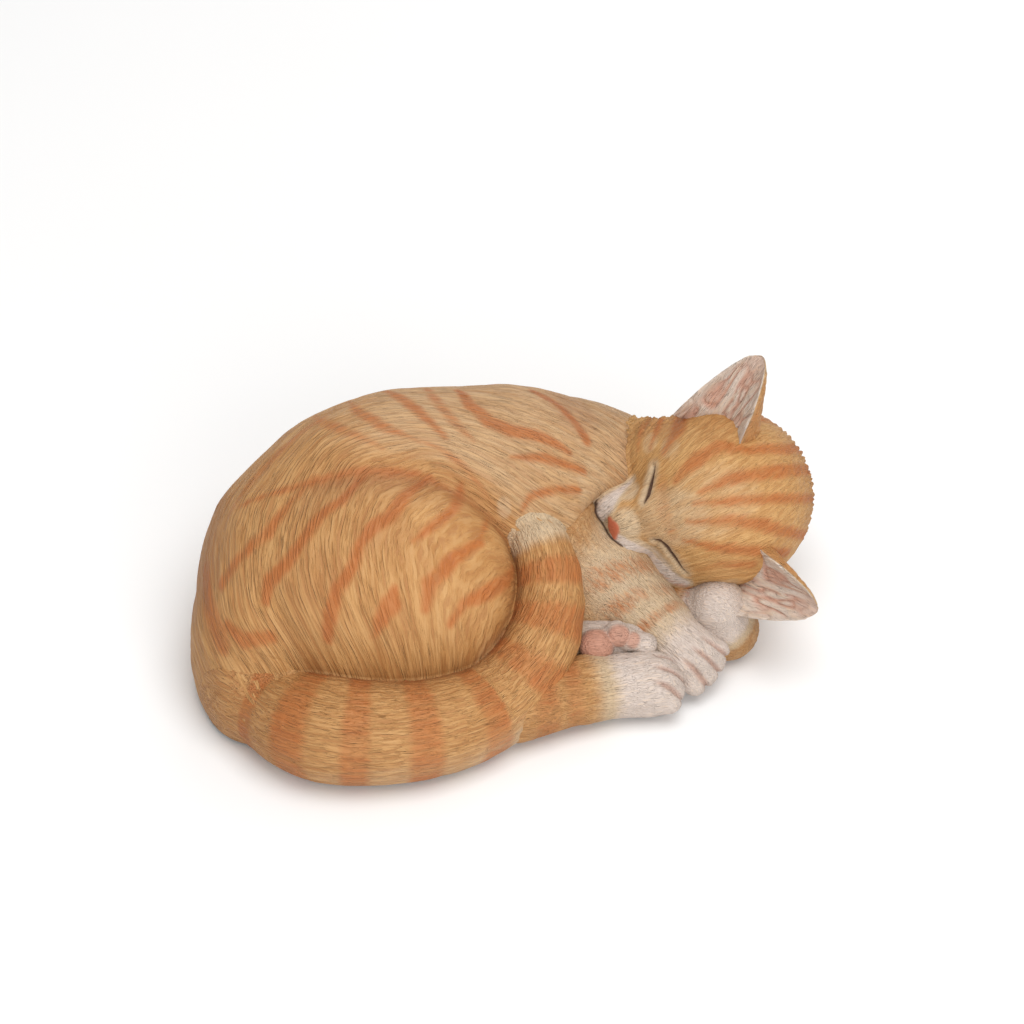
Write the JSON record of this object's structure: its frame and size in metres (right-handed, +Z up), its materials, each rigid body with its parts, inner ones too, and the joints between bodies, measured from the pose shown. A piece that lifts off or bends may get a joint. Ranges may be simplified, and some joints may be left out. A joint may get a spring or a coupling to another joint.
{
  "type": "cat figurine",
  "caption": "Sleeping ginger tabby kitten figurine, curled on its side with its tail round its haunch, cast and painted with engraved fur.",
  "frame": {"origin": "middle of the footprint, on the surface that the figurine rests on", "axes": "+X from the rump towards the head, +Z up, and -Y towards the side that the tail, the feet and the face are on"},
  "size_m": [0.2268, 0.1628, 0.1114],
  "materials": {
    "ginger_fur": "matt to satin, painted over engraved fur",
    "pale_fur": "matt to satin, painted over engraved fur",
    "pad_felt": "matt felt"
  },
  "bodies": {
    "root": {"torso_shell": "ginger_fur", "haunch_shell": "ginger_fur", "head_shell": "ginger_fur", "upper_ear": "pale_fur", "lower_ear": "pale_fur", "tail": "ginger_fur", "upper_foreleg": "pale_fur", "pillow_foreleg": "pale_fur", "near_hind_foot": "pale_fur", "far_hind_foot": "pale_fur", "felt_pad_rump": "pad_felt", "felt_pad_back": "pad_felt", "felt_pad_shoulder": "pad_felt", "felt_pad_haunch": "pad_felt"}
  },
  "joints": []
}
